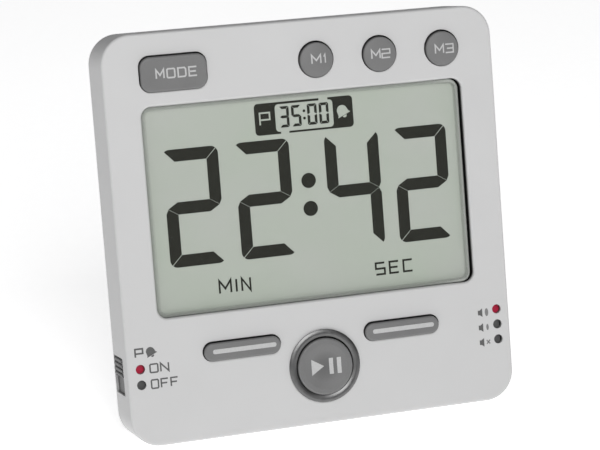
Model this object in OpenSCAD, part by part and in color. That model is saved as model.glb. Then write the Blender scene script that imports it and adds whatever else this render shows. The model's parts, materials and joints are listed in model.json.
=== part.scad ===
// Digital countdown timer: a square hard-plastic slab that leans back on a fold-out leg.
// Every piece is drawn in the face frame (x right, y up, z towards the viewer, face at z = 0)
// and then leaned back, so that the body's rear bottom edge and the leg's tip stand on z = 0.

/* [Body] */
// Width of the face
face_w = 100; // [96:1:110]
// Height of the face
face_h = 100; // [98:1:106]
// Depth of the front shell
shell_d = 13.3; // [13:0.1:14]
// Overall thickness, front face to back
body_d = 20; // [19.8:0.1:21]
// Radius of the body's four corners
corner_r = 7.4; // [7:0.1:9]
// Rounding of the front edge
front_edge = 0.7; // [0.6:0.1:1.2]
// Rounding of the back edge
back_edge = 2.8; // [2:0.1:2.8]
// Step from the shell's side in to the back cover's side
cover_inset = 1.6; // [1.4:0.1:1.6]
// How far the timer leans back, degrees
lean = 14; // [12:0.5:16]

/* [Display] */
// Width of the window
window_w = 82.3; // [78:0.1:82.5]
// Height of the window
window_h = 51.4; // [48:0.1:51.5]
// Height of the window's centre above the bottom edge
window_y = 56.6; // [56:0.1:57]
// Corner radius of the window
window_r = 2.6; // [2:0.1:3]

/* [Keys] */
// Height of the row of upper keys
top_row_y = 90.1; // [90:0.1:90.4]
// Width of the mode key's hole
mode_w = 17.1; // [15:0.1:17.5]
// Height of the mode key's hole
mode_h = 9; // [8:0.1:9.2]
// Diameter of each memory key's hole
memory_d = 9.16; // [8:0.02:9.3]
// Distance between memory keys
memory_pitch = 16.44; // [14:0.02:17]
// Length of each slot key's hole
slot_w = 20.06; // [16:0.02:21]
// Height of each slot key's hole
slot_h = 4.98; // [4.6:0.02:5.4]
// Distance of the slot keys from the centre line
slot_x = 20.8; // [20:0.1:22]
// Height of the slot keys
slot_y = 21.5; // [20:0.1:22]
// Height of the start key
start_y = 14.5; // [14:0.1:15]
// Diameter of the bezel ring round the start key
ring_d = 18.26; // [17:0.02:19]
// Diameter of the opening in the bezel ring
ring_bore = 14.74; // [14:0.02:15]
// How far the keys stand out of the face
key_proud = 1; // [0.8:0.1:1.2]
// How far a key travels when pressed
key_travel = 0.7; // [0.4:0.1:0.7]
// How far the keys hang below the middle of their holes
key_sag = 0.15; // [0:0.05:0.15]

/* [Side switches] */
// Distance between two switch positions
switch_step = 3.85; // [3:0.05:4]
// Height of the left switch in its upper position
left_top_y = 19.35; // [18:0.05:20]
// Height of the right switch in its upper position
right_top_y = 23.15; // [22:0.05:24]
// Height of a switch knob
knob_h = 4.7; // [4:0.1:5.2]
// How far a knob stands out of the side
knob_proud = 0.2; // [0.2:0.1:0.6]
// Diameter of an indicator hole
dot_d = 2.34; // [2:0.02:2.5]
// Distance of the indicator holes from the centre line
dot_x = 46.6; // [46.4:0.1:46.7]

/* [Leg and battery bay] */
// Height of the leg's hinge
hinge_y = 60; // [58:0.5:60]
// Opening angle of the leg, degrees
leg_open = 22; // [20:0.5:26]
// Width of the leg
leg_w = 38; // [30:1:38]
// Diameter of a battery cell
cell_d = 10.5; // [10:0.1:10.5]
// Length of a battery cell with its button
cell_len = 44.5; // [44:0.1:44.6]

/* [Hidden] */
$fn = 64;

shell_wall = 2.2;
face_wall = 1.8;
cover_wall = 1.6;
cover_lip_t = 1.4;
lip_gap_low = 3.6;
lip_gap_high = 36;
seam = 0.1;
fit = 0.2;
over = 1;

inner_w = face_w - 2 * shell_wall;
inner_h = face_h - 2 * shell_wall;
cover_w = face_w - 2 * cover_inset;
cover_h = face_h - 2 * cover_inset;
cover_r = corner_r - cover_inset;
centre_y = face_h / 2;

// Lens, display and board, as depths behind the face
lens_front = 0.5;
lens_gap = 0.12;
lens_slack = 0.55;
lens_edge = 0.6;
lens_rebate = 1.2;
mouth_edge = 0.6;
lens_flange = 1.6;
glass_t = 1.1;
lcd_v = 1.9;
lcd_back_v = lcd_v + 2 * glass_t;
lcd_w = 84;
lcd_top = window_y + window_h / 2 + 1;
ledge_h = 3.2;
lcd_bottom = window_y - window_h / 2 - ledge_h + 0.3;
reflector_t = 0.3;
board_v = 5.6;
board_t = 1;
board_back = board_v + board_t;

// Keys
key_gap = 0.25;
key_lip = 0.6;
lip_v = face_wall + seam;
lip_t = 0.8;
stem_end = 4;
pad_top = stem_end + key_travel + seam;
pad_sheet = 5;
pad_slope = 0.6;
upper_pad_x1 = -38;
upper_pad_x2 = 40;
upper_pad_half = 4.4;
lower_pad_x = 32;
lower_pad_down = 5;
lower_pad_up = 4;
small_dome_r = 1.8;
wide_dome_r = 2.2;
start_dome_r = 2.8;
key_edge = 0.55;
mode_x = -window_w / 2 + mode_w / 2 + 0.15;
mode_r = 2.8;
memory_x = [for (i = [-2:0]) window_w / 2 - memory_d / 2 + i * memory_pitch];
slot_xs = [-slot_x, slot_x];
ring_seat_r = ring_d / 2 - 0.75;
ring_proud = 0.7;
ring_depth = face_wall + 0.6;

// Side switches
knob_front = 4.3;
knob_back = 12.3;
knob_room_up = 0.25;
knob_room_down = 0.5;
rib_r = 0.42;
slot_front = 3.9;
slot_back = 12.7;
plate_t = 0.8;
plate_over = 0.85;
plate_x = face_w / 2 - 0.65;
plate_skin = 0.6;
pocket_front = 3.4;
arm_outer_x = inner_w / 2 - 0.2;
arm_t = 0.9;
arm_end = 4.9;
strip_inner_x = 45;
strip_v = 1.3;
strip_t = 1.2;
strip_over = 1.35;
bridge_step = 0.6;
pocket_room = 0.3;
marker_r = 1.15;
left_steps = 1;
right_steps = 2;
left_rise = -0.15;
right_rise = 2.5;
case_outer_x = 45.4;
case_inner_x = 41.4;
case_over = 3.2;
case_front = 2.95;
case_window_x = 43.6;
case_window_front = 3.4;
case_window_back = 5;
nub_inner_x = 43.9;
nub_half = 0.8;
nub_front = 3.6;
nub_back = 4.8;

// Screws and bosses
boss_r = 2.5;
boss_top_x = 43.6;
boss_top_y = face_h - 6.4;
boss_low_x = 40.5;
boss_low_y = 5.5;
case_bosses = [[-boss_top_x, boss_top_y], [boss_top_x, boss_top_y],
    [-boss_low_x, boss_low_y], [boss_low_x, boss_low_y]];
board_boss_x = 45.7;
board_boss_r = 1.6;
board_bosses = [for (s = [-1, 1], y = [45, 76]) [s * board_boss_x, y]];
pilot_r = 1;
screw_r = 0.97;
screw_head_r = 1.9;
screw_head_v = 14.9;
board_screw_r = 0.6;
cross_half = 0.2;
cross_depth = 0.5;

// Parts on the board
chip_place = [8, 40];
chip_r = 5.5;
chip_height = 1.4;
crystal_place = [24, 30];
crystal_r = 1;
crystal_len = 6;
capacitor_place = [27, 38];
capacitor_r = 2.5;
capacitor_len = 7;

// Back: leg channel, battery bay, magnets and buzzer
back_skin = body_d - cover_wall;
hinge_v = body_d - 2;
barrel_r = 2;
stub_r = 1.5;
stub_bore_r = 1.55;
stub_len = 2.6;
leg_t = 2.2;
leg_tip_r = leg_t / 2;
leg_tip_off = body_d - leg_t / 2 - hinge_v;
hinge_rise = shell_d * sin(lean) + hinge_y * cos(lean) - hinge_v * sin(lean);
leg_reach = (hinge_rise - leg_tip_r + leg_tip_off * sin(leg_open - lean)) / cos(leg_open - lean);
channel_w = leg_w + 0.8;
channel_room = 0.3;
channel_v = body_d - leg_t - channel_room;
channel_pocket_v = hinge_v - barrel_r - channel_room;
channel_top = hinge_y + barrel_r + 0.8;
channel_foot = 1.2;
barrel_pocket = hinge_y - barrel_r - 0.8;
ear_w = 3;
bay_half = 25.6;
bay_low = 68.3;
bay_high = 90.3;
bay_wall = 2.6;
bay_floor_v = 7;
bay_floor_t = 0.8;
cell_v = bay_floor_v + bay_floor_t + 0.1 + cell_d / 2;
cell_ys = [bay_low + 0.3 + cell_d / 2, bay_high - 0.3 - cell_d / 2];
cell_button = 0.8;
cell_button_r = 1.9;
cell_end_x = -20.1;
contact_t = 0.4;
contact_half = 4.4;
contact_front = 12.7;
contact_back = 17.4;
bridge_front = 8.6;
dimple_r1 = 2.2;
dimple_r2 = 1.6;
dimple_h = 0.75;
spring_inset = 0.75;
spring_r1 = 3.6;
spring_r2 = 1.8;
spring_pitch = 1.05;
spring_turns = 4;
spring_steps = 20;
spring_wire_r = 0.3;
door_half = 26.8;
door_gap = 0.2;
door_low = 67.4;
door_high = 91.4;
door_t = 1.5;
door_pin_r = 0.45;
door_bore_r = 0.5;
door_axis_y = door_low + door_t / 2;
door_axis_v = body_d - door_t / 2;
nail_notch_r = 4;
nail_notch_t = 0.9;
grip_count = 5;
grip_pitch = 1.6;
grip_t = 0.5;
grip_w = 0.8;
grip_half = 8;
lead_r = 0.6;
lead_v = 13.4;
magnet_r = 6;
magnet_t = 1.8;
magnet_y = 55;
magnet_x = 34;
magnet_wall = 1.2;
piezo_x = -34;
piezo_y = 36;
piezo_r = 10;
piezo_v = 14.6;
piezo_t = 0.4;
piezo_rim = 1.2;
ceramic_r = 7;
ceramic_t = 0.3;
sound_hole_r = 0.8;
sound_ring_r = 3.6;
buzzer_lead_r = 0.5;
buzzer_lead_y = 8.4;

// Leaning the whole timer: the body's rear bottom edge lies on z = 0, the depth is centred
front_reach = front_edge * (cos(lean) + sin(lean) - 1);
body_reach = (body_d - back_edge) * cos(lean)
    + (face_h - cover_inset - back_edge) * sin(lean) + back_edge;
tip_v = hinge_v + leg_reach * sin(leg_open) + leg_tip_off * cos(leg_open);
tip_y = hinge_y - leg_reach * cos(leg_open) + leg_tip_off * sin(leg_open);
tip_reach = tip_v * cos(lean) + tip_y * sin(lean) + leg_tip_r;
base_y = -(front_reach + max(body_reach, tip_reach)) / 2;
base_z = shell_d * sin(lean);

function helix(r0, r1, pitch, turns, steps) =
    [for (i = [0:turns * steps])
        let (t = i / (turns * steps), a = 360 * i / steps, r = r0 + (r1 - r0) * t)
        [r * cos(a), r * sin(a), pitch * turns * t]];

function plate_half(travel) = travel + knob_h / 2 + plate_over;
function strip_half(travel) = travel + strip_over;

module leaned() {
    translate([0, base_y, base_z]) rotate([90 - lean, 0, 0]) children();
}

// An extrusion between two depths behind the face
module layer(v1, v2) {
    translate([0, 0, -v2]) linear_extrude(v2 - v1) children();
}

module rounded(w, h, r) {
    square([w - 2 * r, h], center = true);
    square([w, h - 2 * r], center = true);
    for (sx = [-1, 1], sy = [-1, 1]) {
        translate([sx * (w / 2 - r), sy * (h / 2 - r)]) circle(r);
    }
}

module at_face(x, y) {
    translate([x, y, 0]) children();
}

module post(x, y, r, v1, v2) {
    translate([x, y, -v2]) cylinder(r = r, h = v2 - v1);
}

module block(x1, x2, y1, y2, v1, v2) {
    translate([x1, y1, -v2]) cube([x2 - x1, y2 - y1, v2 - v1]);
}

// Runs a profile (outward from the corner centre, depth) round a rounded rectangle
module edge_sweep(w, h, r) {
    a = w / 2 - r;
    b = h / 2 - r;
    centres = [[a, b], [-a, b], [-a, -b], [a, -b]];
    for (i = [0:3]) {
        translate(centres[i]) rotate([0, 0, 90 * i]) rotate_extrude(angle = 90) children();
        long = i % 2 == 0 ? 2 * b : 2 * a;
        out = i % 2 == 0 ? a : b;
        rotate([0, 0, 90 * i]) translate([out, 0, 0]) rotate([90, 0, 0])
            linear_extrude(long, center = true) children();
    }
}

module round_front(r, e, v1, v2) {
    translate([0, -v2]) square([r, v2 - v1 - e]);
    translate([0, -v2]) square([r - e, v2 - v1]);
    translate([r - e, -v1 - e]) circle(e);
}

module round_back(r, e, v1, v2) {
    translate([0, -v2 + e]) square([r, v2 - v1 - e]);
    translate([0, -v2]) square([r - e, v2 - v1]);
    translate([r - e, -v2 + e]) circle(e);
}

// A rounded plate with a rounded front edge, between two depths
module soft_plate(w, h, r, e, v1, v2) {
    edge_sweep(w, h, r) round_front(r, e, v1, v2);
    layer(v1, v2) square([w - 2 * r, h - 2 * r], center = true);
}

module soft_back_plate(w, h, r, e, v1, v2) {
    edge_sweep(w, h, r) round_back(r, e, v1, v2);
    layer(v1, v2) square([w - 2 * r, h - 2 * r], center = true);
}

// What is cut away to round the mouth of an opening
module mouth_round(w, h, r, e) {
    edge_sweep(w, h, r) difference() {
        translate([r - 0.1, -e]) square([e + 0.1, e + 0.5]);
        translate([r + e, -e]) circle(e);
    }
}

module key_holes() {
    through = face_wall + 1;
    at_face(mode_x, top_row_y) layer(-1, through) rounded(mode_w, mode_h, mode_r);
    for (x = memory_x) {
        post(x, top_row_y, memory_d / 2, -1, through);
    }
    for (x = slot_xs) {
        at_face(x, slot_y) layer(-1, through) rounded(slot_w, slot_h, slot_h / 2 - 0.01);
    }
    post(0, start_y, ring_seat_r, -1, through);
}

module dot_holes(side, top_y, steps) {
    for (i = [0:steps]) {
        post(side * dot_x, top_y - i * switch_step, dot_d / 2, -1, face_wall + 0.5);
    }
}

// A box on the left side, or mirrored to the right side
module side_block(side, x1, x2, y1, y2, v1, v2) {
    mirror([side > 0 ? 1 : 0, 0, 0]) block(x1, x2, y1, y2, v1, v2);
}

// The slot for a knob, the pocket for its dust plate and the groove for its marker strip
module side_slot(side, top_y, steps, rise) {
    travel = steps * switch_step;
    knob_y = top_y + rise;
    inside = -inner_w / 2;
    plate_reach = plate_half(travel) + pocket_room;
    strip_reach = strip_half(travel) + pocket_room;
    side_block(side, -face_w / 2 - over, inside + over / 2,
        knob_y - travel - knob_h / 2 - knob_room_down, knob_y + knob_h / 2 + knob_room_up,
        slot_front, slot_back);
    side_block(side, -face_w / 2 + plate_skin, inside + over / 2, knob_y - travel - plate_reach,
        knob_y + plate_reach, pocket_front, shell_d + over);
    side_block(side, inside + 0.01, -strip_inner_x + pocket_room, top_y - travel - strip_reach,
        top_y + strip_reach, strip_v - seam, face_wall + over / 2);
}

module front_shell() {
    color("gainsboro") leaned() difference() {
        union() {
            difference() {
                at_face(0, centre_y) soft_plate(face_w, face_h, corner_r, front_edge, 0, shell_d);
                at_face(0, centre_y) layer(face_wall, shell_d + 1)
                    rounded(inner_w, inner_h, corner_r - shell_wall);
            }
            for (p = case_bosses) {
                post(p[0], p[1], boss_r, face_wall - 0.3, shell_d - seam);
            }
            for (p = board_bosses) {
                post(p[0], p[1], board_boss_r, face_wall - 0.3, board_v);
            }
        }
        at_face(0, window_y) layer(-1, face_wall + 1) rounded(window_w, window_h, window_r);
        at_face(0, window_y) mouth_round(window_w, window_h, window_r, mouth_edge);
        at_face(0, window_y) layer(lens_rebate, face_wall + 1)
            square([window_w + 2 * lens_flange, window_h + 2 * lens_flange], center = true);
        key_holes();
        dot_holes(-1, left_top_y, left_steps);
        dot_holes(1, right_top_y, right_steps);
        side_slot(-1, left_top_y, left_steps, left_rise);
        side_slot(1, right_top_y, right_steps, right_rise);
        for (p = case_bosses) {
            post(p[0], p[1], pilot_r, 6.4, shell_d + 1);
        }
        for (p = board_bosses) {
            post(p[0], p[1], board_screw_r + 0.03, 2.4, board_v + 1);
        }
    }
}

module cover_hollow() {
    at_face(0, centre_y) layer(shell_d - 1, back_skin)
        rounded(cover_w - 2 * cover_wall, cover_h - 2 * cover_wall, cover_r - cover_wall);
}

module cover_lip() {
    lip_w = inner_w - 2 * seam;
    lip_h = inner_h - 2 * seam;
    lip_r = corner_r - shell_wall - seam;
    difference() {
        at_face(0, centre_y) layer(shell_d - cover_lip_t, shell_d + cover_wall - seam)
            rounded(lip_w, lip_h, lip_r);
        at_face(0, centre_y) layer(shell_d - 2 * over, shell_d + 2 * over)
            rounded(lip_w - 2 * cover_lip_t, lip_h - 2 * cover_lip_t, lip_r - cover_lip_t);
        block(-face_w, face_w, lip_gap_low, lip_gap_high, shell_d - 2 * over, shell_d);
        for (p = case_bosses) {
            post(p[0], p[1], boss_r + seam, shell_d - 2 * over, shell_d);
        }
    }
}

module leg_channel_walls() {
    half = channel_w / 2 + ear_w;
    block(-half, half, cover_inset + channel_foot, channel_top + cover_wall,
        channel_v - cover_wall, back_skin + fit);
    block(-half, half, barrel_pocket - cover_wall, channel_top + cover_wall,
        channel_pocket_v - cover_wall, back_skin + fit);
}

module leg_channel() {
    block(-channel_w / 2, channel_w / 2, -over, channel_top, channel_v, body_d + over);
    block(-channel_w / 2, channel_w / 2, barrel_pocket, channel_top, channel_pocket_v,
        body_d + over);
    translate([0, hinge_y, -hinge_v]) rotate([0, 90, 0])
        cylinder(r = stub_bore_r, h = channel_w + 2 * stub_len + 0.6, center = true);
}

module back_cover() {
    color("whitesmoke") leaned() difference() {
        union() {
            difference() {
                at_face(0, centre_y)
                    soft_back_plate(cover_w, cover_h, cover_r, back_edge, shell_d, body_d);
                cover_hollow();
            }
            cover_lip();
            leg_channel_walls();
            block(-bay_half - bay_wall, bay_half + bay_wall, bay_low - bay_wall,
                bay_high + bay_wall, bay_floor_v, back_skin + fit);
            for (p = case_bosses) {
                post(p[0], p[1], boss_r + 0.6, shell_d, back_skin + fit);
            }
            for (s = [-1, 1]) {
                post(s * magnet_x, magnet_y, magnet_r + magnet_wall, back_skin - magnet_t,
                    back_skin + fit);
            }
            post(piezo_x, piezo_y, piezo_r, piezo_v + piezo_t, back_skin + fit);
        }
        leg_channel();
        block(-bay_half, bay_half, bay_low, bay_high, bay_floor_v + bay_floor_t, body_d + 1);
        block(-door_half - door_gap, door_half + door_gap, door_low - door_gap,
            door_high + door_gap, back_skin, body_d + 1);
        translate([0, door_axis_y, -door_axis_v]) rotate([0, 90, 0])
            cylinder(r = door_bore_r, h = 2 * door_half + 2.8, center = true);
        post(0, door_high, nail_notch_r, body_d - nail_notch_t, body_d + 1);
        for (y = cell_ys) {
            translate([bay_half - 1, y, -lead_v]) rotate([0, 90, 0])
                cylinder(r = lead_r + 0.1, h = bay_wall + 2);
        }
        for (p = case_bosses) {
            post(p[0], p[1], pilot_r + 0.15, shell_d - 1, body_d);
            post(p[0], p[1], screw_head_r + 0.25, screw_head_v, body_d + 1);
        }
        for (s = [-1, 1]) {
            post(s * magnet_x, magnet_y, magnet_r + 0.05, body_d - magnet_t - 0.1, body_d + 1);
        }
        post(piezo_x, piezo_y, piezo_r - piezo_rim, piezo_v, back_skin);
        for (a = [0:60:300]) {
            post(piezo_x + sound_ring_r * cos(a), piezo_y + sound_ring_r * sin(a), sound_hole_r,
                piezo_v, body_d + over);
        }
        post(piezo_x, piezo_y, sound_hole_r, piezo_v, body_d + over);
    }
}

module window_lens() {
    w = window_w - 2 * lens_gap - lens_slack;
    h = window_h - 2 * lens_gap;
    color("lightgray", 0.3) leaned() at_face(-lens_slack / 2, window_y) {
        soft_plate(w, h, window_r - lens_gap, lens_edge, lens_front, lens_rebate);
        layer(lens_rebate, face_wall)
            square([w + 2 * lens_flange - 0.1, h + 2 * lens_flange - 0.1], center = true);
    }
}

module start_ring() {
    mid = (ring_d + ring_bore) / 4;
    half = (ring_d - ring_bore) / 4;
    color("dimgray") leaned() at_face(0, start_y) rotate_extrude($fn = 96) {
        intersection() {
            translate([mid, -1.1]) circle(half * 2.06);
            translate([ring_bore / 2, 0]) square([2 * half, ring_proud]);
        }
        translate([ring_bore / 2, -ring_depth])
            square([ring_seat_r - 0.05 - ring_bore / 2, ring_depth]);
    }
}

// A key cap with rounded rim, the lip that holds it behind the face and its stem
module flat_key(x, y, w, h, r) {
    at_face(x, y - key_sag) {
        soft_plate(w - 2 * key_gap, h - 2 * key_gap, r - key_gap, key_edge, -key_proud, lip_v);
        layer(lip_v, lip_v + lip_t) rounded(w - 2 * key_gap + 2 * key_lip,
            h - 2 * key_gap + 2 * key_lip, r - key_gap + key_lip);
        layer(lip_v + lip_t, stem_end) square([w / 3, h / 3], center = true);
    }
}

module mode_key() {
    color("gray") leaned() flat_key(mode_x, top_row_y, mode_w, mode_h, mode_r);
}

module slot_key(x) {
    color("gray") leaned() flat_key(x, slot_y, slot_w, slot_h, slot_h / 2 - 0.01);
}

// A round key with a soft rim and a slightly domed top
module memory_key(i) {
    r = memory_d / 2 - key_gap;
    dome = 30;
    color("gray") leaned() at_face(memory_x[i], top_row_y - key_sag) {
        rotate_extrude() {
            intersection() {
                translate([0, key_proud - dome]) circle(dome, $fn = 360);
                union() {
                    translate([0, -lip_v]) square([r - key_edge, lip_v + key_proud]);
                    translate([0, -lip_v]) square([r, lip_v + key_proud - key_edge - 0.2]);
                    translate([r - key_edge, key_proud - key_edge - 0.2]) circle(key_edge);
                }
            }
            translate([0, -lip_v - lip_t]) square([r + key_lip, lip_t]);
            translate([0, -stem_end]) square([1.6, stem_end - lip_v]);
        }
    }
}

module start_key() {
    r = ring_bore / 2 - key_gap;
    top = ring_proud + 0.3;
    dish_r = r - 1.5;
    dish = 0.5;
    bowl = (dish_r * dish_r + dish * dish) / (2 * dish);
    lip = ring_depth + seam;
    color("gray") leaned() at_face(0, start_y - key_sag) difference() {
        rotate_extrude($fn = 96) {
            translate([0, -lip]) square([r, lip + top - key_edge]);
            translate([0, -lip]) square([r - key_edge, lip + top]);
            translate([r - key_edge, top - key_edge]) circle(key_edge);
            translate([0, -lip - lip_t]) square([r + key_lip + 0.2, lip_t]);
            translate([0, -stem_end]) square([2.4, stem_end]);
        }
        translate([0, 0, top + bowl - dish]) sphere(bowl, $fn = 200);
    }
}

module lcd_front_glass() {
    color("honeydew", 0.5) leaned()
        block(-lcd_w / 2, lcd_w / 2, lcd_bottom, lcd_top, lcd_v, lcd_v + glass_t);
}

module lcd_back_glass() {
    color("honeydew", 0.6) leaned()
        block(-lcd_w / 2, lcd_w / 2, lcd_bottom + ledge_h, lcd_top, lcd_v + glass_t, lcd_back_v);
}

module lcd_reflector() {
    color("darkseagreen") leaned()
        block(-lcd_w / 2 + 0.4, lcd_w / 2 - 0.4, lcd_bottom + ledge_h + 0.3, lcd_top - 0.3,
            lcd_back_v, lcd_back_v + reflector_t);
}

module lcd_holder() {
    rim = 1.3;
    frame_w = 3;
    ledge_t = 0.6;
    half = lcd_w / 2 + fit;
    low = lcd_bottom - fit;
    high = lcd_top + fit;
    color("white") leaned() difference() {
        block(-half - rim, half + rim, low - rim, high + rim, lcd_v, board_v);
        block(-half, half, low, high, lcd_v - over, lcd_back_v + reflector_t);
        block(-half, half, low, low + ledge_h, lcd_v, board_v + over);
        block(-lcd_w / 2 + frame_w, lcd_w / 2 - frame_w, lcd_bottom + ledge_h + frame_w,
            lcd_top - frame_w, lcd_back_v + reflector_t + ledge_t, board_v + over);
    }
}

module zebra_strip() {
    color("pink") leaned() block(-lcd_w / 2 + 4, lcd_w / 2 - 4, lcd_bottom + 0.3,
        lcd_bottom + ledge_h - 0.5, lcd_v + glass_t, board_v);
}

module main_board() {
    color("forestgreen") leaned() difference() {
        at_face(0, centre_y) layer(board_v, board_back)
            rounded(inner_w - 3.6, inner_h - 3.6, corner_r - shell_wall - 1.6);
        for (p = case_bosses) {
            post(p[0], p[1], boss_r + 0.3, board_v - 1, board_back + 1);
        }
        for (p = board_bosses) {
            post(p[0], p[1], board_screw_r + 0.2, board_v - 1, board_back + 1);
        }
    }
}

module chip_blob() {
    dome = (chip_r * chip_r + chip_height * chip_height) / (2 * chip_height);
    color("black") leaned() translate([chip_place[0], chip_place[1], -board_back])
        rotate([180, 0, 0]) rotate_extrude() intersection() {
            translate([0, chip_height - dome]) circle(dome, $fn = 360);
            square([chip_r + over, chip_height]);
        }
}

module quartz_crystal() {
    color("silver") leaned()
        translate([crystal_place[0], crystal_place[1], -board_back - crystal_r])
            rotate([0, 90, 0]) cylinder(r = crystal_r, h = crystal_len);
}

module capacitor() {
    color("navy") leaned()
        translate([capacitor_place[0], capacitor_place[1], -board_back - capacitor_r])
            rotate([0, 90, 0]) cylinder(r = capacitor_r, h = capacitor_len);
}

module keypad_domes(points) {
    for (p = points) {
        translate([p[0], p[1], -pad_sheet]) cylinder(r1 = p[2] + pad_slope, r2 = p[2],
            h = pad_sheet - pad_top);
    }
}

module upper_keypad() {
    color("slategray") leaned() {
        block(upper_pad_x1, upper_pad_x2, top_row_y - upper_pad_half, top_row_y + upper_pad_half,
            pad_sheet, board_v);
        keypad_domes([[mode_x, top_row_y, wide_dome_r],
            for (x = memory_x) [x, top_row_y, small_dome_r]]);
    }
}

module lower_keypad() {
    color("slategray") leaned() {
        block(-lower_pad_x, lower_pad_x, start_y - lower_pad_down, slot_y + lower_pad_up,
            pad_sheet, board_v);
        keypad_domes([[0, start_y, start_dome_r], for (x = slot_xs) [x, slot_y, small_dome_r]]);
    }
}

// The slider: a ribbed knob, its dust plate, and an arm that carries the strip under the dots
module switch_knob(side, top_y, steps, rise) {
    ribs = 4;
    rib_inset = 0.55;
    rib_pitch = (knob_h - 2 * rib_inset) / (ribs - 1);
    knob_y = top_y + rise;
    plate_reach = plate_half(steps * switch_step);
    strip_reach = strip_half(steps * switch_step);
    bridge_reach = strip_reach - bridge_step;
    color("darkgray") leaned() mirror([side > 0 ? 1 : 0, 0, 0]) difference() {
        union() {
            block(-face_w / 2 - knob_proud + rib_r, -plate_x + fit, knob_y - knob_h / 2,
                knob_y + knob_h / 2, knob_front, knob_back);
            for (i = [0:ribs - 1]) {
                translate([-face_w / 2 - knob_proud + rib_r,
                    knob_y - knob_h / 2 + rib_inset + i * rib_pitch, -knob_back + seam])
                    cylinder(r = rib_r, h = knob_back - knob_front - 2 * seam);
            }
            block(-plate_x, -plate_x + plate_t, knob_y - plate_reach, knob_y + plate_reach,
                pocket_front + seam, shell_d - seam);
            block(-plate_x + plate_t - fit, -arm_outer_x + arm_t, top_y - bridge_reach,
                top_y + bridge_reach, pocket_front + seam, arm_end);
            block(-arm_outer_x, -arm_outer_x + arm_t, top_y - strip_reach, top_y + strip_reach,
                strip_v, arm_end);
            block(-arm_outer_x, -strip_inner_x, top_y - strip_reach, top_y + strip_reach,
                strip_v, strip_v + strip_t);
        }
        post(-dot_x, top_y, marker_r, strip_v - over, strip_v + strip_t + 0.01);
    }
}

module marker(side, top_y) {
    color("crimson") leaned() post(side * dot_x, top_y, marker_r, strip_v, strip_v + strip_t);
}

module switch_case(side, top_y, steps) {
    travel = steps * switch_step;
    mid = top_y - travel / 2;
    half = travel / 2 + case_over;
    window_end = nub_half + fit;
    color("silver") leaned() mirror([side > 0 ? 1 : 0, 0, 0]) difference() {
        block(-case_outer_x, -case_inner_x, mid - half, mid + half, case_front, board_v);
        block(-case_outer_x - over, -case_window_x, top_y - travel - window_end, top_y + window_end,
            case_window_front, case_window_back);
    }
}

module switch_nub(side, top_y) {
    color("black") leaned() mirror([side > 0 ? 1 : 0, 0, 0])
        block(-arm_outer_x + arm_t, -nub_inner_x, top_y - nub_half, top_y + nub_half, nub_front,
            nub_back);
}

module piezo_plate() {
    color("goldenrod") leaned() post(piezo_x, piezo_y, piezo_r, piezo_v, piezo_v + piezo_t);
}

module piezo_ceramic() {
    color("white") leaned() post(piezo_x, piezo_y, ceramic_r, piezo_v - ceramic_t, piezo_v);
}

module buzzer_leads() {
    color("red") leaned() {
        for (s = [-1, 1]) {
            post(piezo_x, piezo_y + s * buzzer_lead_y, buzzer_lead_r, board_back, piezo_v);
        }
    }
}

module battery_leads() {
    color("black") leaned() {
        for (y = cell_ys) {
            post(bay_half + bay_wall + 1, y, lead_r, board_back, lead_v);
            translate([bay_half, y, -lead_v]) rotate([0, 90, 0])
                cylinder(r = lead_r, h = bay_wall + 1);
        }
    }
}

module cell(flip) {
    mirror([flip ? 1 : 0, 0, 0]) translate([cell_end_x, 0, 0]) rotate([0, 90, 0]) {
        cylinder(r = cell_d / 2, h = cell_len - cell_button);
        cylinder(r = cell_button_r, h = cell_len);
    }
}

module cells() {
    color("darkslategray") leaned() {
        translate([0, cell_ys[1], -cell_v]) cell(false);
        translate([0, cell_ys[0], -cell_v]) cell(true);
    }
}

module wire_sweep(path, r) {
    sides = 8;
    count = len(path);
    points = [for (i = [0:count - 1], k = [0:sides - 1])
        let (a = atan2(path[i][1], path[i][0]), b = 360 * k / sides, p = path[i])
        [p[0] + r * cos(b) * cos(a), p[1] + r * cos(b) * sin(a), p[2] + r * sin(b)]];
    walls = [for (i = [0:count - 2], k = [0:sides - 1])
        let (n = (k + 1) % sides)
        [i * sides + k, (i + 1) * sides + k, (i + 1) * sides + n, i * sides + n]];
    first = [for (k = [0:sides - 1]) k];
    last = [for (k = [sides - 1:-1:0]) (count - 1) * sides + k];
    polyhedron(points, concat([first], walls, [last]));
}

module contact_spring() {
    wire_sweep(helix(spring_r1, spring_r2, spring_pitch, spring_turns, spring_steps),
        spring_wire_r);
}

module contact_springs() {
    color("silver") leaned() {
        translate([-bay_half + spring_inset, cell_ys[1], -cell_v]) rotate([0, 90, 0])
            contact_spring();
        translate([bay_half - spring_inset, cell_ys[0], -cell_v]) rotate([0, -90, 0])
            contact_spring();
    }
}

module contact_dimple() {
    cylinder(r1 = dimple_r1, r2 = dimple_r2, h = dimple_h);
}

module bridge_contact() {
    color("silver") leaned() {
        block(-bay_half, -bay_half + contact_t, cell_ys[0] - contact_half,
            cell_ys[1] + contact_half, bridge_front, contact_back);
        translate([-bay_half + contact_t, cell_ys[0], -cell_v]) rotate([0, 90, 0])
            contact_dimple();
    }
}

module end_contacts() {
    color("silver") leaned() {
        for (y = cell_ys) {
            block(bay_half - contact_t, bay_half, y - contact_half, y + contact_half,
                contact_front, contact_back);
        }
        translate([bay_half - contact_t, cell_ys[1], -cell_v]) rotate([0, -90, 0])
            contact_dimple();
    }
}

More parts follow.
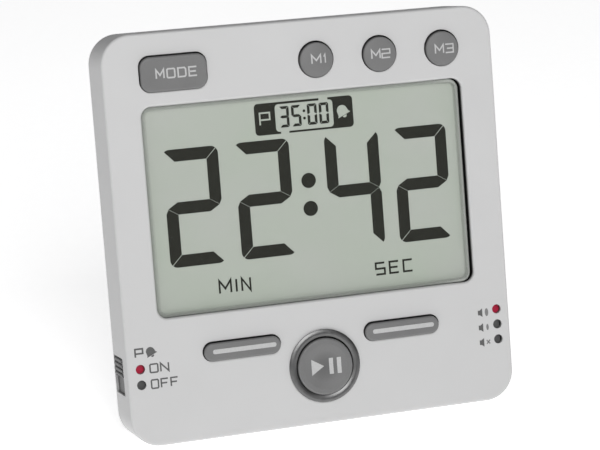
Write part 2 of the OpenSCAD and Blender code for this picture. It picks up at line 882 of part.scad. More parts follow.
module battery_door() {
    top = door_high - 0.02;
    color("whitesmoke") leaned() {
        difference() {
            block(-door_half, door_half, door_axis_y, top, body_d - door_t, body_d);
            for (i = [1:grip_count]) {
                block(-grip_half, grip_half, top - i * grip_pitch - grip_w, top - i * grip_pitch,
                    body_d - grip_t, body_d + over);
            }
        }
        translate([0, door_axis_y, -door_axis_v]) rotate([0, 90, 0]) {
            cylinder(r = door_t / 2, h = 2 * door_half, center = true);
            cylinder(r = door_pin_r, h = 2 * door_half + 2.2, center = true);
        }
    }
}

module magnets() {
    color("silver") leaned() {
        for (s = [-1, 1]) {
            post(s * magnet_x, magnet_y, magnet_r, body_d - magnet_t - 0.1, body_d - 0.1);
        }
    }
}

module leg() {
    top = body_d - hinge_v;
    color("whitesmoke") leaned() translate([0, hinge_y, -hinge_v]) rotate([leg_open, 0, 0]) {
        translate([-leg_w / 2, -leg_reach, -top]) cube([leg_w, leg_reach, leg_t]);
        translate([0, -leg_reach, -leg_tip_off]) rotate([0, 90, 0])
            cylinder(r = leg_tip_r, h = leg_w, center = true);
        rotate([0, 90, 0]) {
            cylinder(r = barrel_r, h = leg_w, center = true);
            cylinder(r = stub_r, h = leg_w + 2 * stub_len, center = true);
        }
    }
}

module screw(x, y, r, head_r, v_tip, v_head, head_t) {
    at_face(x, y) difference() {
        union() {
            post(0, 0, r, v_tip, v_head + head_t);
            post(0, 0, head_r, v_head, v_head + head_t);
        }
        for (a = [0, 90]) {
            rotate([0, 0, a]) block(-head_r * 0.6, head_r * 0.6, -cross_half, cross_half,
                v_head + head_t - cross_depth, v_head + head_t + over);
        }
    }
}

module board_screws() {
    color("silver") leaned() {
        for (p = board_bosses) {
            screw(p[0], p[1], board_screw_r, 1.3, 2.8, board_back, 0.8);
        }
    }
}

module case_screws() {
    color("silver") leaned() {
        for (p = case_bosses) {
            screw(p[0], p[1], screw_r, screw_head_r, 7, screw_head_v, 1.3);
        }
    }
}

front_shell();
back_cover();
window_lens();
start_ring();
mode_key();
memory_key(0);  // memory_key_1
memory_key(1);  // memory_key_2
memory_key(2);  // memory_key_3
slot_key(-slot_x);  // left_slot_key
slot_key(slot_x);  // right_slot_key
start_key();
lcd_front_glass();
lcd_back_glass();
lcd_reflector();
lcd_holder();
zebra_strip();
main_board();
chip_blob();
quartz_crystal();
capacitor();
upper_keypad();
lower_keypad();
switch_knob(-1, left_top_y, left_steps, left_rise);  // left_switch_knob
marker(-1, left_top_y);  // left_marker
switch_case(-1, left_top_y, left_steps);  // left_switch_case
switch_nub(-1, left_top_y);  // left_switch_nub
switch_knob(1, right_top_y, right_steps, right_rise);  // right_switch_knob
marker(1, right_top_y);  // right_marker
switch_case(1, right_top_y, right_steps);  // right_switch_case
switch_nub(1, right_top_y);  // right_switch_nub
piezo_plate();
piezo_ceramic();
buzzer_leads();
battery_leads();
cells();
contact_springs();
bridge_contact();
end_contacts();
battery_door();
magnets();
leg();
board_screws();
case_screws();
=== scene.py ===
"""A light grey digital countdown timer that leans back on its leg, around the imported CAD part.

Places on the timer are given in millimetres in its face frame: x to the right, y up from the
face's bottom edge and z towards the viewer, with the face itself at z = 0.
"""

import json
import math

import bmesh
import bpy
from mathutils import Matrix, Vector


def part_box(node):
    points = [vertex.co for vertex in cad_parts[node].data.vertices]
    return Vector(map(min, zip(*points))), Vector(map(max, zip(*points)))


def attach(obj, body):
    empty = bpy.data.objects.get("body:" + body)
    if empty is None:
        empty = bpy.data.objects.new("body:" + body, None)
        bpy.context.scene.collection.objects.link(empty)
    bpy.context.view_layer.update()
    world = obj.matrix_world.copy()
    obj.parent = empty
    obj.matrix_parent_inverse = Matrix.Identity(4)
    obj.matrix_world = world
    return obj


MM = 0.001

# Where the CAD part has its leg hinge: height and depth in the face frame
HINGE_HEIGHT = 60
HINGE_DEPTH = 18

# Rounded boxes of the face: centre x, centre y, width, height and corner radius
FACE_OUTLINE = (0, 50, 100, 100, 7.4)
WINDOW_OUTLINE = (0, 56.6, 82.3, 51.4, 2.6)
LENS_OUTLINE = (-0.275, 56.6, 81.51, 51.16, 2.48)

# Segment digits: width, height, thickness, gap between segments and outer corner radius
LARGE_DIGIT = (14.1, 28.75, 3.0, 0.12, 1.9)
SMALL_DIGIT = (2.5, 5.2, 0.68, 0.06, 0.4)

# How far in front of the face the rays start that find a CAD surface
PROBE_HEIGHT = 30
# How deep a sign reaches into the surface that it lies on
SIGN_SINK = 0.05
# Least cosine of half a bend: corners of a line that are sharper reach out no further
MITRE_LIMIT = 0.35
# Sides on each round corner of a box
CORNER_STEPS = 6
# Distance between the three rows of the loudness markings
SOUND_PITCH = 3.8

# The stage, in metres, and its brightness
FLOOR_HALF = 4.0
FLOOR_DROP = 0.0002
FLOOR_GLOW = 0.69
WORLD_STRENGTH = 0.14

# The camera, with its place and aim in the face frame
FOCAL_LENGTH = 141.86
SENSOR_WIDTH = 36
CAMERA_PLACE = (-174.55, 116.62, 550.43)
CAMERA_AIM = (-3.58, 49.99, 0)


# --- the face frame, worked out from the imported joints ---

def joint(name):
    return next(j for j in frame["joints"] if j["name"] == name)


def face_frame():
    """The matrix from face-frame millimetres to the frame's metres, and the lean in radians."""
    into_face = Vector(joint("mode_key_press")["axis"])
    lean = math.atan2(-into_face.z, into_face.y)
    turn = Matrix.Rotation(math.pi / 2 - lean, 4, "X") @ Matrix.Scale(MM, 4)
    hinge = Vector(joint("leg_hinge")["pos_m"])
    origin = hinge - turn @ Vector((0, HINGE_HEIGHT, -HINGE_DEPTH))
    return Matrix.Translation(origin) @ turn, lean


def surface(node, x, y):
    """How far in front of the face the CAD node's surface lies at a point of the face."""
    start = FACE @ Vector((x, y, PROBE_HEIGHT))
    along = (FACE @ Vector((x, y, PROBE_HEIGHT - 1)) - start).normalized()
    hit, place, _, _ = frame["nodes"][node].ray_cast(start, along)
    if not hit:
        raise ValueError(f"nothing of {node} lies at {x}, {y}")
    return (TO_FACE @ place).z


def middle_x(node):
    """The middle of a CAD node across the face."""
    low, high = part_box(node)
    return (low.x + high.x) / 2 / MM


# --- materials ---

def srgb(r, g, b):
    """Linear colour of an 8-bit screen colour."""
    def linear(c):
        c /= 255
        return c / 12.92 if c <= 0.04045 else ((c + 0.055) / 1.055) ** 2.4
    return linear(r), linear(g), linear(b), 1


def grey(value):
    return srgb(value, value, value)


def scaled(colour, factor):
    return tuple(c * factor for c in colour[:3]) + (1,)


class Shader:
    """A node material whose textures are laid out in face-frame millimetres."""

    def __init__(self, name):
        self.material = bpy.data.materials.new(name)
        self.material.use_nodes = True
        self.tree = self.material.node_tree
        self.bsdf = self.tree.nodes["Principled BSDF"]
        coords = self.tree.nodes.new("ShaderNodeTexCoord")
        self.coords = self.tree.nodes.new("ShaderNodeMapping")
        self.coords.vector_type = "TEXTURE"
        self.coords.inputs["Location"].default_value = FACE.translation
        self.coords.inputs["Rotation"].default_value = (math.pi / 2 - LEAN, 0, 0)
        self.coords.inputs["Scale"].default_value = (MM, MM, MM)
        self.link(coords.outputs["Object"], self.coords.inputs["Vector"])

    def link(self, source, target):
        self.tree.links.new(source, target)

    def stretched(self, scale):
        """Texture coordinates for noise that is drawn out where scale is small."""
        node = self.tree.nodes.new("ShaderNodeMapping")
        node.inputs["Scale"].default_value = scale
        self.link(self.coords.outputs["Vector"], node.inputs["Vector"])
        return node.outputs["Vector"]

    def noise(self, size, detail=2, vector=None):
        """Noise from 0 to 1 whose features are about size millimetres across."""
        node = self.tree.nodes.new("ShaderNodeTexNoise")
        node.inputs["Scale"].default_value = 1 / size
        node.inputs["Detail"].default_value = detail
        self.link(vector or self.coords.outputs["Vector"], node.inputs["Vector"])
        return node.outputs["Fac"]

    def ramp(self, source, low, high, start=0.3, end=0.7):
        """Runs from low to high while the source runs from start to end."""
        node = self.tree.nodes.new("ShaderNodeMapRange")
        node.inputs["From Min"].default_value = start
        node.inputs["From Max"].default_value = end
        node.inputs["To Min"].default_value = low
        node.inputs["To Max"].default_value = high
        self.link(source, node.inputs["Value"])
        return node.outputs["Result"]

    def mix(self, factor, first, second):
        """The first colour where the factor is 0, and the second where it is 1."""
        node = self.tree.nodes.new("ShaderNodeMix")
        node.data_type = "RGBA"
        self.link(factor, node.inputs["Factor"])
        for value, socket in ((first, node.inputs["A"]), (second, node.inputs["B"])):
            if isinstance(value, tuple):
                socket.default_value = value
            else:
                self.link(value, socket)
        return node.outputs["Result"]

    def math(self, operation, first, second=0.0):
        node = self.tree.nodes.new("ShaderNodeMath")
        node.operation = operation
        for value, socket in zip((first, second), node.inputs):
            if isinstance(value, (int, float)):
                socket.default_value = value
            else:
                self.link(value, socket)
        return node.outputs["Value"]

    def axes(self):
        """The face-frame x, y and z."""
        node = self.tree.nodes.new("ShaderNodeSeparateXYZ")
        self.link(self.coords.outputs["Vector"], node.inputs["Vector"])
        return node.outputs["X"], node.outputs["Y"], node.outputs["Z"]

    def outline_distance(self, outline):
        """Distance outside a rounded box of the face, negative inside it, in millimetres."""
        centre_x, centre_y, width, height, radius = outline
        x, y, _ = self.axes()
        across = self.math("ABSOLUTE", self.math("SUBTRACT", x, centre_x))
        across = self.math("SUBTRACT", across, width / 2 - radius)
        up = self.math("ABSOLUTE", self.math("SUBTRACT", y, centre_y))
        up = self.math("SUBTRACT", up, height / 2 - radius)
        inner = self.math("MINIMUM", self.math("MAXIMUM", across, up), 0)
        across = self.math("MAXIMUM", across, 0)
        up = self.math("MAXIMUM", up, 0)
        square = self.math("ADD", self.math("MULTIPLY", across, across),
                           self.math("MULTIPLY", up, up))
        corner = self.math("SQRT", square)
        return self.math("SUBTRACT", self.math("ADD", corner, inner), radius)

    def bump(self, height, depth):
        """Raises the surface by up to depth millimetres."""
        node = self.tree.nodes.new("ShaderNodeBump")
        node.inputs["Distance"].default_value = depth * MM
        self.link(height, node.inputs["Height"])
        self.link(node.outputs["Normal"], self.bsdf.inputs["Normal"])

    def colour(self, source):
        self.link(source, self.bsdf.inputs["Base Color"])

    def rough(self, source):
        self.link(source, self.bsdf.inputs["Roughness"])

    def metallic(self, value):
        self.bsdf.inputs["Metallic"].default_value = value

    def specular(self, value):
        self.bsdf.inputs["Specular IOR Level"].default_value = value


def moulded(name, colour, roughness, grain=0.22, depth=0.01, variation=0.03):
    """Injection-moulded plastic: spark-eroded grain, with faint clouds in colour and sheen."""
    shader = Shader(name)
    clouds = shader.noise(14, detail=3)
    speckle = shader.noise(grain * 1.6)
    dark, pale = scaled(colour, 1 - variation), scaled(colour, 1 + variation)
    tone = shader.mix(shader.ramp(clouds, 0, 1), dark, pale)
    shader.colour(shader.mix(shader.ramp(speckle, 0, 0.5), tone, dark))
    shader.rough(shader.ramp(clouds, roughness - 0.04, roughness + 0.05))
    shader.bump(shader.noise(grain, detail=3), depth)
    shader.specular(0.4)
    return shader.material


def metal(name, colour, roughness, brushed=(1, 30, 1), variation=0.06):
    """Metal with fine lines along one direction."""
    shader = Shader(name)
    lines = shader.noise(3, detail=4, vector=shader.stretched(brushed))
    shader.colour(shader.mix(shader.ramp(lines, 0, 1), scaled(colour, 1 - variation),
                             scaled(colour, 1 + variation)))
    shader.rough(shader.ramp(lines, roughness - 0.05, roughness + 0.06))
    shader.bump(lines, 0.004)
    shader.metallic(1.0)
    return shader.material


def ink(name, colour, roughness=0.5, grain=0.4, specular=0.25):
    """Pad-printed ink that is slightly uneven in colour and sheen."""
    shader = Shader(name)
    patches = shader.noise(grain, detail=3)
    shader.colour(shader.mix(shader.ramp(patches, 0, 1), scaled(colour, 0.93),
                             scaled(colour, 1.05)))
    shader.rough(shader.ramp(patches, roughness - 0.05, roughness + 0.08))
    shader.bump(patches, 0.004)
    shader.specular(specular)
    return shader.material


def shell_material():
    """Satin light grey plastic with painted shade that darkens the walls of the holes in the face
    towards grey 45.

    Round the window only the wall on the right gets this painted shade, and the outer sides stay
    light.
    """
    colour = grey(204)
    shader = Shader("shell_plastic")
    clouds = shader.noise(14, detail=3)
    speckle = shader.noise(0.35)
    tone = shader.mix(shader.ramp(clouds, 0, 1), scaled(colour, 0.988), scaled(colour, 1.012))
    tone = shader.mix(shader.ramp(speckle, 0, 0.5), tone, scaled(colour, 0.985))
    x, _, z = shader.axes()
    right = shader.ramp(x, 0, 1, 34, 38)
    off_window = shader.ramp(shader.outline_distance(WINDOW_OUTLINE), 0, 1, 1, 2)
    # Painted shade: below the face, hole walls darken with depth towards grey 45; round the window
    # only at the right
    painted_shade_walls = shader.math("MAXIMUM", right, off_window)
    down = shader.ramp(z, 1, 0, -1.1, -0.1)
    light = shader.math("SUBTRACT", 1, shader.math("MULTIPLY", painted_shade_walls, down))
    side = shader.ramp(shader.outline_distance(FACE_OUTLINE), 0, 1, -1.0, -0.7)
    shader.colour(shader.mix(shader.math("MAXIMUM", light, side), grey(45), tone))
    shader.rough(shader.ramp(clouds, 0.4, 0.48))
    shader.bump(shader.noise(0.22, detail=3), 0.01)
    shader.specular(0.35)
    return shader.material


def key_material():
    """Grey rubberised plastic with painted shade that darkens the flanks of a key."""
    shader = Shader("key_plastic")
    clouds = shader.noise(9, detail=3)
    speckle = shader.noise(0.3)
    tone = shader.mix(shader.ramp(clouds, 0, 1), grey(118), grey(123))
    tone = shader.mix(shader.ramp(speckle, 0, 0.5), tone, grey(115))
    _, _, z = shader.axes()
    # Painted shade: the key darkens towards grey 52 from 0.75 mm above the face to its flanks
    shader.colour(shader.mix(shader.ramp(z, 1, 0, 0.05, 0.75), tone, grey(52)))
    shader.rough(shader.ramp(clouds, 0.34, 0.42))
    shader.bump(shader.noise(0.18, detail=3), 0.006)
    shader.specular(0.35)
    return shader.material


def lens_material():
    """Clear acrylic with faint hairlines, a pale painted highlight along its rim that is half as
    strong on the left, and an opaque rebate.

    The rebate carries painted shade: pale at the left and top, darker along the bottom, and black
    at the right, where the gap lies in shadow.
    """
    shader = Shader("clear_lens")
    outside = shader.outline_distance(LENS_OUTLINE)
    rebate = shader.ramp(outside, 0, 1, 0.01, 0.03)
    x, y, _ = shader.axes()
    right = shader.ramp(x, 0, 1, 30, 38)
    low = shader.ramp(y, 1, 0, 31.2, 32.2)
    # Painted highlight: a pale, partly opaque band just inside the lens rim, half as strong on the
    # left as on the right
    painted_edge_highlight = shader.math("MULTIPLY", shader.ramp(outside, 0, 1, -1.1, -0.5),
                       shader.ramp(right, 0.5, 1, 0, 1))
    clear = shader.mix(painted_edge_highlight, grey(90), srgb(203, 207, 201))
    # Painted shade on the rebate: grey 208 at the left and top, grey 100 along the bottom and grey
    # 10 at the right
    painted_rebate_shade = shader.mix(right, shader.mix(low, grey(208), grey(100)), grey(10))
    shader.colour(shader.mix(rebate, clear, painted_rebate_shade))
    hairs = shader.noise(2.5, detail=5, vector=shader.stretched((1, 14, 1)))
    shader.rough(shader.ramp(hairs, 0.1, 0.2))
    alpha = shader.math("ADD", 0.01, shader.math("MULTIPLY", painted_edge_highlight, 0.5))
    alpha = shader.math("MINIMUM", shader.math("ADD", alpha, rebate), 1)
    shader.link(alpha, shader.bsdf.inputs["Alpha"])
    shader.bump(hairs, 0.0012)
    shader.specular(0.1)
    return shader.material


def display_material():
    """Grey-green polariser over the display glass, with faint rubbing lines and grain."""
    shader = Shader("display_film")
    clouds = shader.noise(22)
    tone = shader.mix(shader.ramp(clouds, 0, 1), srgb(178, 186, 174), srgb(183, 187, 180))
    grain = shader.noise(0.35)
    shader.colour(shader.mix(shader.ramp(grain, 0, 0.35), tone, srgb(171, 179, 169)))
    lines = shader.noise(1.4, detail=3, vector=shader.stretched((1, 0.06, 1)))
    shader.rough(shader.ramp(lines, 0.45, 0.55))
    shader.bump(lines, 0.002)
    shader.specular(0.2)
    return shader.material


def board_material():
    """Green solder mask over copper tracks that run in both directions."""
    shader = Shader("circuit_board")
    tracks = shader.tree.nodes.new("ShaderNodeTexBrick")
    tracks.inputs["Scale"].default_value = 0.45
    tracks.inputs["Mortar Size"].default_value = 0.035
    tracks.inputs["Mortar Smooth"].default_value = 0.2
    tracks.inputs["Color1"].default_value = srgb(22, 88, 48)
    tracks.inputs["Color2"].default_value = srgb(26, 96, 54)
    tracks.inputs["Mortar"].default_value = srgb(70, 142, 84)
    shader.link(shader.coords.outputs["Vector"], tracks.inputs["Vector"])
    shader.colour(tracks.outputs["Color"])
    shader.rough(shader.ramp(shader.noise(4), 0.25, 0.4))
    shader.bump(tracks.outputs["Fac"], 0.03)
    return shader.material


def cell_material():
    """A printed sleeve: dark, with copper-coloured bands towards the ends of the cells."""
    shader = Shader("cell_sleeve")
    x, _, _ = shader.axes()
    band = shader.ramp(shader.math("ABSOLUTE", x), 0, 1, 13.9, 14.1)
    shader.colour(shader.mix(band, srgb(34, 36, 40), srgb(168, 110, 58)))
    shader.rough(shader.ramp(shader.noise(3, detail=3), 0.22, 0.36))
    shader.bump(shader.noise(0.8, detail=3), 0.006)
    shader.metallic(0.3)
    return shader.material


def ring_material():
    """Dark satin-chromed bezel with a faint haze."""
    shader = Shader("gunmetal_ring")
    haze = shader.noise(1.2, detail=4)
    shader.colour(shader.mix(shader.ramp(haze, 0, 1), grey(108), grey(116)))
    shader.rough(shader.ramp(haze, 0.33, 0.39))
    shader.bump(shader.noise(0.12), 0.0006)
    shader.metallic(1.0)
    return shader.material


def floor_material():
    """Pale matt paper that keeps its own brightness."""
    shader = Shader("pale_floor")
    fibres = shader.noise(2.2, detail=5)
    shader.colour(shader.mix(shader.ramp(fibres, 0, 1), grey(246), grey(252)))
    shader.rough(shader.ramp(fibres, 0.85, 0.95))
    shader.bump(fibres, 0.02)
    shader.bsdf.inputs["Emission Color"].default_value = (1, 1, 1, 1)
    shader.bsdf.inputs["Emission Strength"].default_value = FLOOR_GLOW
    shader.specular(0.1)
    return shader.material


def dress_frame():
    """Gives every CAD node its material."""
    looks = (
        (shell_material(), ("front_shell",)),
        (moulded("cover_plastic", grey(202), 0.5, grain=0.35, depth=0.02, variation=0.02),
         ("back_cover", "battery_door", "leg")),
        (moulded("slider_plastic", grey(90), 0.45, variation=0.04),
         ("left_switch_knob", "right_switch_knob")),
        (metal("plated_steel", grey(196), 0.3),
         ("quartz_crystal", "contact_springs", "bridge_contact", "end_contacts", "board_screws",
          "case_screws", "left_switch_case", "right_switch_case")),
        (moulded("keypad_rubber", grey(96), 0.75, grain=0.5, depth=0.02, variation=0.05),
         ("upper_keypad", "lower_keypad")),
        (key_material(),
         ("mode_key", "memory_key_1", "memory_key_2", "memory_key_3", "left_slot_key",
          "right_slot_key", "start_key")),
        (lens_material(), ("window_lens",)),
        (ring_material(), ("start_ring",)),
        (display_material(), ("lcd_front_glass", "lcd_back_glass")),
        (metal("silvered_reflector", srgb(176, 184, 170), 0.4, brushed=(8, 1, 1)),
         ("lcd_reflector",)),
        (moulded("inner_white", grey(226), 0.5, grain=0.4), ("lcd_holder",)),
        (moulded("zebra_rubber", srgb(214, 140, 150), 0.7, grain=0.3, variation=0.08),
         ("zebra_strip",)),
        (board_material(), ("main_board",)),
        (moulded("epoxy", grey(18), 0.3, grain=1.5, depth=0.05, variation=0.1), ("chip_blob",)),
        (moulded("capacitor_sleeve", srgb(24, 32, 84), 0.35, variation=0.06), ("capacitor",)),
        (moulded("marker_red", srgb(188, 22, 62), 0.4, grain=0.15, depth=0.008),
         ("left_marker", "right_marker")),
        (moulded("nub_black", grey(30), 0.4), ("left_switch_nub", "right_switch_nub")),
        (metal("brass_plate", srgb(206, 164, 82), 0.3), ("piezo_plate",)),
        (moulded("ceramic", srgb(232, 226, 214), 0.6, grain=0.6, depth=0.02),
         ("piezo_ceramic",)),
        (moulded("lead_red", srgb(176, 28, 24), 0.45, grain=0.6), ("buzzer_leads",)),
        (moulded("lead_black", grey(26), 0.45, grain=0.6), ("battery_leads",)),
        (cell_material(), ("cells",)),
        (metal("magnet_plating", grey(182), 0.3, brushed=(1, 1, 1), variation=0.02),
         ("magnets",)),
    )
    for material, names in looks:
        for name in names:
            node = frame["nodes"][name]
            node.data.materials.clear()
            node.data.materials.append(material)


# --- outlines in the face plane ---

def arc(x, y, wide, tall, start, end, steps):
    """Points along an ellipse from start to end degrees, both ends included."""
    angles = [math.radians(start + (end - start) * i / steps) for i in range(steps + 1)]
    return [(x + wide * math.cos(a), y + tall * math.sin(a)) for a in angles]


def oval(x, y, wide, tall, steps):
    """A closed ellipse."""
    return arc(x, y, wide, tall, 0, 360, steps)[:-1]


def disc(x, y, radius, steps=40):
    return oval(x, y, radius, radius, steps)


def rounded_box(x1, x2, y1, y2, radius):
    """Outline of a box with round corners, anticlockwise."""
    corners = ((x2 - radius, y1 + radius, -90), (x2 - radius, y2 - radius, 0),
               (x1 + radius, y2 - radius, 90), (x1 + radius, y1 + radius, 180))
    return [point for x, y, start in corners
            for point in arc(x, y, radius, radius, start, start + 90, CORNER_STEPS)]


def stroke(points, width, closed=False):
    """Four-sided outlines along a line, with mitred corners."""
    count = len(points)
    sides = []
    for i, (x, y) in enumerate(points):
        here = Vector((x, y))
        before = Vector(points[i - 1]) if closed or i > 0 else None
        after = Vector(points[(i + 1) % count]) if closed or i < count - 1 else None
        ways = [(here - before).normalized()] if before is not None else []
        ways += [(after - here).normalized()] if after is not None else []
        normals = [Vector((-w.y, w.x)) for w in ways]
        mitre = sum(normals, Vector((0, 0))).normalized()
        reach = width / 2 / max(mitre.dot(normals[0]), MITRE_LIMIT)
        sides.append((here + mitre * reach, here - mitre * reach))
    pairs = range(count if closed else count - 1)
    return [[tuple(sides[i][0]), tuple(sides[i][1]), tuple(sides[(i + 1) % count][1]),
             tuple(sides[(i + 1) % count][0])] for i in pairs]


# Letters in a unit square: their lines, and whether the lines close on themselves
CUT = 0.1
SQUARE_O = [(CUT, 0), (1 - CUT, 0), (1, CUT), (1, 1 - CUT), (1 - CUT, 1), (CUT, 1), (0, 1 - CUT),
            (0, CUT)]
LETTERS = {
    "M": ([[(0, 0), (0, 1), (0.5, 0.35), (1, 1), (1, 0)]], False),
    "O": ([SQUARE_O], True),
    "D": ([[(0, 0), (0.85, 0), (1, 0.15), (1, 0.85), (0.85, 1), (0, 1)]], True),
    "E": ([[(1, 1), (0, 1), (0, 0), (1, 0)], [(0, 0.5), (0.9, 0.5)]], False),
    "I": ([[(0.5, 0), (0.5, 1)]], False),
    "N": ([[(0, 0), (0, 1), (1, 0), (1, 1)]], False),
    "S": ([[(1, 1), (0, 1), (0, 0.5), (1, 0.5), (1, 0), (0, 0)]], False),
    "C": ([[(1, 1), (0, 1), (0, 0), (1, 0)]], False),
    "F": ([[(0, 0), (0, 1), (1, 1)], [(0, 0.5), (0.85, 0.5)]], False),
    "P": ([[(0, 0), (0, 1), (1, 1), (1, 0.42), (0, 0.42)]], False),
    "1": ([[(0.35, 0.72), (0.75, 1), (0.75, 0)]], False),
    "2": ([[(0, 1), (1, 1), (1, 0.5), (0, 0.5), (0, 0), (1, 0)]], False),
    "3": ([[(0, 1), (1, 1), (1, 0), (0, 0)], [(0.2, 0.5), (1, 0.5)]], False),
}
NARROW_ONE = {"1": 0.45}


def word(text, x1, x2, y1, y2, width, gap, shares=NARROW_ONE):
    """Outlines of a word of stroked capitals that fills the given box.

    The shares give the letters that are wider or narrower than the others.
    """
    unit = (x2 - x1 - gap * (len(text) - 1)) / sum(shares.get(c, 1) for c in text)
    outlines = []
    left = x1
    for letter in text:
        across = unit * shares.get(letter, 1)
        inner = max(across - width, 0.01)
        lines, closed = LETTERS[letter]
        for line in lines:
            points = [(left + width / 2 + px * inner, y1 + width / 2 + py * (y2 - y1 - width))
                      for px, py in line]
            outlines += stroke(points, width, closed)
        left += across + gap
    return outlines


def segment_digit(number, x, y, size):
    """Seven-segment outlines with round outer corners and mitred ends."""
    w, h, t, gap, radius = size
    half = h / 2
    g = gap * 0.7  # the gap as seen along a side that ends in a mitre
    turn = 45 - math.degrees(g / radius)
    tip = 0.16 * t
    notch = 0.42 * t
    over = arc(w - radius, h - radius, radius, radius, 90 - turn, 90, 3)
    side = arc(w - radius, h - radius, radius, radius, 0, turn, 3)
    upper_top = [(w - px, py) for px, py in over] + over[::-1]
    upper_top += [(w - t - g, h - t), (t + g, h - t)]
    right_upper = side + [(w - t, h - t - g), (w - t, half + t / 2 + g),
                          (w - tip - g, half + g), (w, half + notch)]
    middle = [(tip + g, half), (t, half + t / 2), (w - t, half + t / 2), (w - tip - g, half),
              (w - t, half - t / 2), (t, half - t / 2)]

    def flip_x(points):
        return [(w - px, py) for px, py in points]

    def flip_y(points):
        return [(px, h - py) for px, py in points]

    parts = {"a": upper_top, "b": right_upper, "c": flip_y(right_upper), "d": flip_y(upper_top),
             "e": flip_y(flip_x(right_upper)), "f": flip_x(right_upper), "g": middle}
    lit = {0: "abcdef", 2: "abged", 3: "abgcd", 4: "fgbc", 5: "afgcd"}[number]
    return [[(x + px, y + py) for px, py in parts[name]] for name in lit]


def bell(x, y, size, tilt):
    """A bell with a flared rim and its clapper, turned by tilt degrees."""
    dome = arc(0, 0.1, 0.7, 0.7, 0, 180, 12)
    body = [(0.92, -0.55), (0.74, -0.3)] + dome + [(-0.74, -0.3), (-0.92, -0.55)]
    clapper = arc(0, -0.6, 0.28, 0.28, 180, 360, 9)
    c, s = math.cos(math.radians(tilt)), math.sin(math.radians(tilt))
    return [[(x + size * (px * c - py * s), y + size * (px * s + py * c)) for px, py in shape]
            for shape in (body, clapper)]


def speaker(x, y):
    """The box and cone of a loudspeaker."""
    return [(x, y - 0.6), (x + 0.5, y - 0.6), (x + 1.2, y - 1.1), (x + 1.2, y + 1.1),
            (x + 0.5, y + 0.6), (x, y + 0.6)]


def cross(x, y):
    """The cross beside a silent loudspeaker."""
    return [line for rise in (-1, 1)
            for line in stroke([(x - 0.45, y - 0.5 * rise), (x + 0.45, y + 0.5 * rise)], 0.3)]


def finer(outline, step):
    """The outline with extra points, so that no side is longer than step."""
    points = []
    for i, (x, y) in enumerate(outline):
        to_x, to_y = outline[(i + 1) % len(outline)]
        parts = max(1, math.ceil(math.hypot(to_x - x, to_y - y) / step))
        points += [(x + (to_x - x) * k / parts, y + (to_y - y) * k / parts)
                   for k in range(parts)]
    return points


# --- flat signs: outlines laid on a CAD surface as thin solids ---

def sign(name, outlines, node, body, material, lift=0.02, step=math.inf):
    """One piece of thin solid outlines that follows the CAD node's surface."""
    mesh = bmesh.new()
    for outline in outlines:
        outline = finer(outline, step)
        heights = [surface(node, x, y) for x, y in outline]
        front = [mesh.verts.new(FACE @ Vector((x, y, z + lift)))
                 for (x, y), z in zip(outline, heights)]
        back = [mesh.verts.new(FACE @ Vector((x, y, z - SIGN_SINK)))
                for (x, y), z in zip(outline, heights)]
        faces = [mesh.faces.new(front), mesh.faces.new(back[::-1])]
        count = len(outline)
        for i in range(count):
            j = (i + 1) % count
            faces.append(mesh.faces.new((front[i], back[i], back[j], front[j])))
        bmesh.ops.recalc_face_normals(mesh, faces=faces)
    bmesh.ops.triangulate(mesh, faces=[f for f in mesh.faces if len(f.verts) > 4])
    data = bpy.data.meshes.new(name)
    mesh.to_mesh(data)
    mesh.free()
    data.materials.append(material)
    piece = bpy.data.objects.new(name, data)
    bpy.context.collection.objects.link(piece)
    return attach(piece, body)


def display_sign(name, outlines, material, lift=0.02):
    """A piece on the display's front glass."""
    sign(name, outlines, "lcd_front_glass", "housing", material, lift=lift)


def display_signs():
    """Everything that the display shows."""
    dark = ink("display_segments", srgb(47, 48, 43), 0.6, specular=0.06)
    light = display_material()
    digits = []
    for number, x, y in ((2, -36.5, 42.7), (2, -18.4, 42.7), (4, 4.8, 42.6), (2, 22.8, 42.45)):
        digits += segment_digit(number, x, y, LARGE_DIGIT)
    digits += [disc(0.1, y, 1.87) for y in (60.5, 53.55)]
    display_sign("display_digits", digits, dark)
    words = word("MIN", -24.95, -16.6, 34.95, 38.55, 0.5, 0.9, {"M": 1.3, "I": 0.2})
    words += word("SEC", 15.65, 25.8, 34.95, 38.3, 0.5, 0.85)
    display_sign("display_words", words, dark)
    badge = rounded_box(-12.5, 12.9, 72.65, 80.45, 1.0)
    display_sign("display_badge", [badge], dark)
    opening = [rounded_box(-7.2, 7.7, 73.15, 79.9, 0.9), rounded_box(4.2, 6.5, 79.8, 80.5, 0.1),
               rounded_box(-6.0, -3.9, 72.6, 73.25, 0.1)]
    display_sign("display_badge_opening", opening, light, lift=0.03)
    signs = word("P", -11.35, -8.45, 75.0, 78.3, 0.38, 0)
    signs += bell(10.15, 76.7, 1.92, 25)
    display_sign("display_badge_signs", signs, light, lift=0.04)
    small = []
    for number, x in ((3, -6.15), (5, -3.05), (0, 1.05), (0, 4.1)):
        small += segment_digit(number, x, 74.1, SMALL_DIGIT)
    small += [disc(0.25, y, 0.36, 16) for y in (75.9, 77.7)]
    display_sign("display_small_digits", small, dark, lift=0.04)


def shell_sign(name, outlines, material):
    """A piece printed on the front shell."""
    sign(name, outlines, "front_shell", "housing", material, lift=0.015)


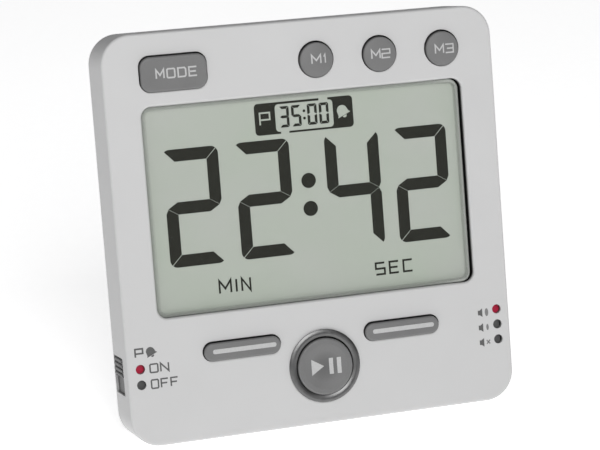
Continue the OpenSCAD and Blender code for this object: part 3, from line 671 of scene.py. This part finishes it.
def face_signs():
    """The switch markings printed on the shell."""
    dark = ink("switch_print", grey(96))
    left = word("P", -47.8, -45.5, 22.2, 24.6, 0.42, 0)
    left += bell(-43.75, 23.35, 1.55, 25)
    left += word("ON", -44.4, -39.4, 18.1, 20.5, 0.38, 0.35)
    left += word("OFF", -44.35, -37.35, 14.2, 16.65, 0.38, 0.35)
    shell_sign("left_switch_signs", left, dark)
    pale = ink("sound_print", grey(128))
    loud, quiet, silent = (22.65 - i * SOUND_PITCH for i in range(3))
    speakers = [speaker(41.5, y) for y in (loud, quiet, silent)]
    sounds = [oval(43.85, loud, 0.46, 1.02, 24), oval(43.85, quiet, 0.33, 0.8, 24)]
    sounds += cross(43.85, silent)
    shell_sign("speaker_signs", speakers, dark)
    shell_sign("sound_signs", sounds, pale)


def key_signs():
    """The signs on the keys, each riding on its own key."""
    light = ink("key_print", grey(192), grain=0.3)
    mode = word("MODE", -37.1, -26.65, 88.75, 91.25, 0.38, 0.45)
    sign("mode_key_sign", mode, "mode_key", "mode_key", light)
    for i, shift, low, width in ((1, -1.5, 88.95, 4.0), (2, -2.4, 88.85, 5.1),
                                 (3, -2.1, 88.7, 5.1)):
        key = f"memory_key_{i}"
        left = middle_x(key) + shift
        outlines = word(f"M{i}", left, left + width, low, low + 2.4, 0.34, 0.2)
        sign(f"{key}_sign", outlines, key, key, light, step=0.6)
    for key, shift in (("left_slot_key", 0.45), ("right_slot_key", 0.24)):
        middle = middle_x(key) + shift
        bar = rounded_box(middle - 8.1, middle + 8.1, 20.95, 22.05, 0.5)
        sign(f"{key}_sign", [bar], key, key, light)
    play = [(-3.6, 12.45), (-0.3, 14.45), (-3.6, 16.45)]
    bars = [rounded_box(x1, x2, 12.3, 16.3, 0.05) for x1, x2 in ((1.03, 2.08), (3.05, 4.1))]
    sign("start_key_sign", [play] + bars, "start_key", "start_key", light, step=0.6)


# --- stage ---

def area_light(name, place, aim, size, power):
    data = bpy.data.lights.new(name, "AREA")
    data.shape = "SQUARE"
    data.size = size
    data.energy = power
    light = bpy.data.objects.new(name, data)
    light.location = place
    light.rotation_euler = (aim - place).to_track_quat("-Z", "Y").to_euler()
    bpy.context.collection.objects.link(light)


def set_stage():
    """The floor, the room's light and two lamps."""
    data = bpy.data.meshes.new("floor")
    corners = [(x * FLOOR_HALF, y * FLOOR_HALF, 0) for x, y in ((-1, -1), (1, -1), (1, 1), (-1, 1))]
    data.from_pydata(corners, [], [(0, 1, 2, 3)])
    data.materials.append(floor_material())
    floor = bpy.data.objects.new("floor", data)
    floor.location.z = -FLOOR_DROP
    bpy.context.collection.objects.link(floor)
    world = bpy.data.worlds.new("soft_grey_room")
    world.use_nodes = True
    background = world.node_tree.nodes["Background"]
    background.inputs["Color"].default_value = (0.9, 0.9, 0.92, 1)
    background.inputs["Strength"].default_value = WORLD_STRENGTH
    bpy.context.scene.world = world
    bpy.context.scene.view_settings.view_transform = "Standard"
    aim = Vector((0, 0, 0.05))
    area_light("key_light", Vector((-0.1, -1.0, 0.8)), aim, size=0.7, power=8.8)
    area_light("fill_light", Vector((-1.3, -0.9, 0.6)), aim, size=0.8, power=0.55)


def set_camera():
    """The camera from which the photo was taken, as worked out from its perspective."""
    data = bpy.data.cameras.new("camera")
    data.lens = FOCAL_LENGTH
    data.sensor_width = SENSOR_WIDTH
    camera = bpy.data.objects.new("camera", data)
    camera.location = FACE @ Vector(CAMERA_PLACE)
    aim = FACE @ Vector(CAMERA_AIM)
    camera.rotation_euler = (aim - camera.location).to_track_quat("-Z", "Y").to_euler()
    bpy.context.collection.objects.link(camera)
    bpy.context.scene.camera = camera


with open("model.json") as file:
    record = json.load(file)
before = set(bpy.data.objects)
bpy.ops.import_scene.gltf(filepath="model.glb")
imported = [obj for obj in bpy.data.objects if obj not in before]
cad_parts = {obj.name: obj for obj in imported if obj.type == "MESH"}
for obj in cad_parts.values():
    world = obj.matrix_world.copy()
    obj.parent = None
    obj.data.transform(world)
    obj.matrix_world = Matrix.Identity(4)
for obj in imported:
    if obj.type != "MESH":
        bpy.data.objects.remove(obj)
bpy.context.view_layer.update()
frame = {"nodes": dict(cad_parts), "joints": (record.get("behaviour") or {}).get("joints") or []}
FACE, LEAN = face_frame()
TO_FACE = FACE.inverted()

dress_frame()
display_signs()
face_signs()
key_signs()
set_stage()
set_camera()
